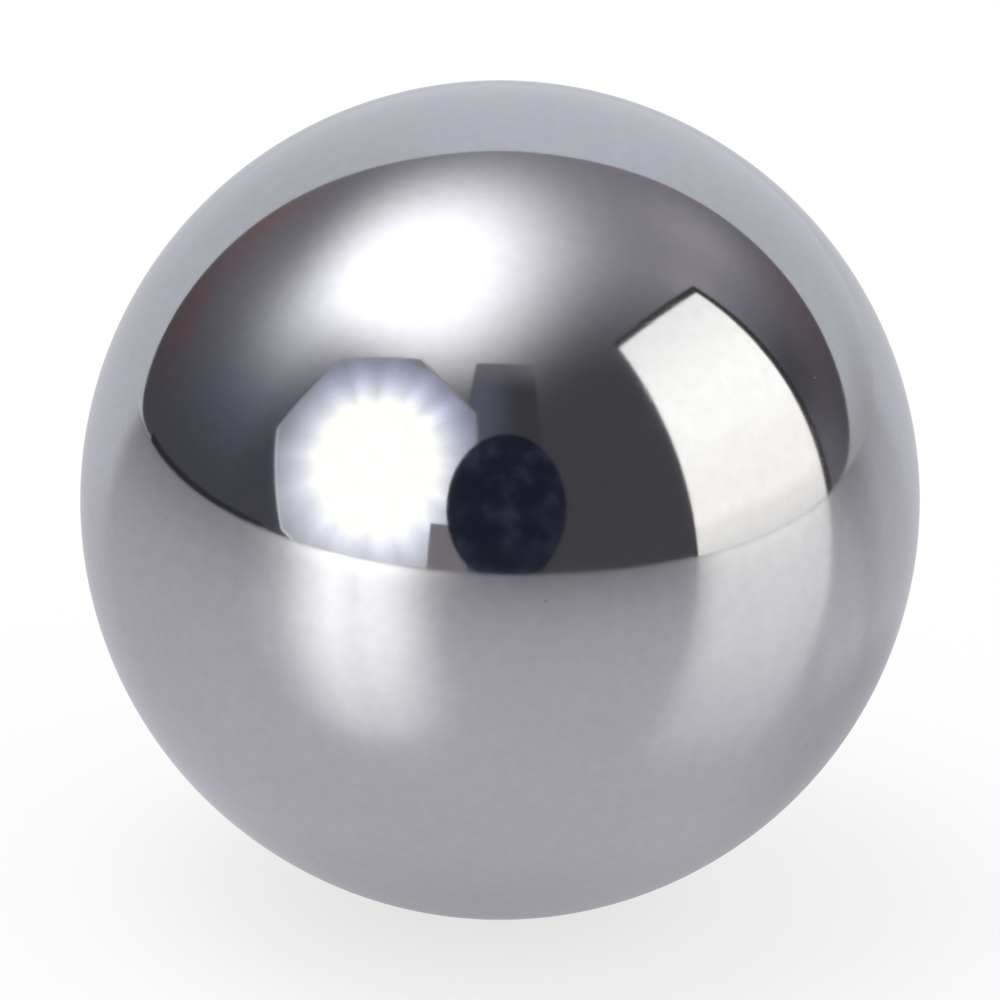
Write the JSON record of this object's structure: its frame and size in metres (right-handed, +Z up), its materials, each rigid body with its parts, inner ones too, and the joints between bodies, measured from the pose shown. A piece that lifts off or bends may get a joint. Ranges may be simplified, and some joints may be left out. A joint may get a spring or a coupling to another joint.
{
  "type": "steel ball",
  "caption": "Solid polished steel ball: one plain mirror-bright sphere that rolls, weights or bears load on any point of its surface.",
  "frame": {"origin": "centre of the ball", "axes": "+Z up; every axis through the centre is an axis of symmetry"},
  "size_m": [0.025, 0.025, 0.025],
  "materials": {
    "polished_steel": "polished"
  },
  "bodies": {
    "root": {"ball": "polished_steel"}
  },
  "joints": []
}
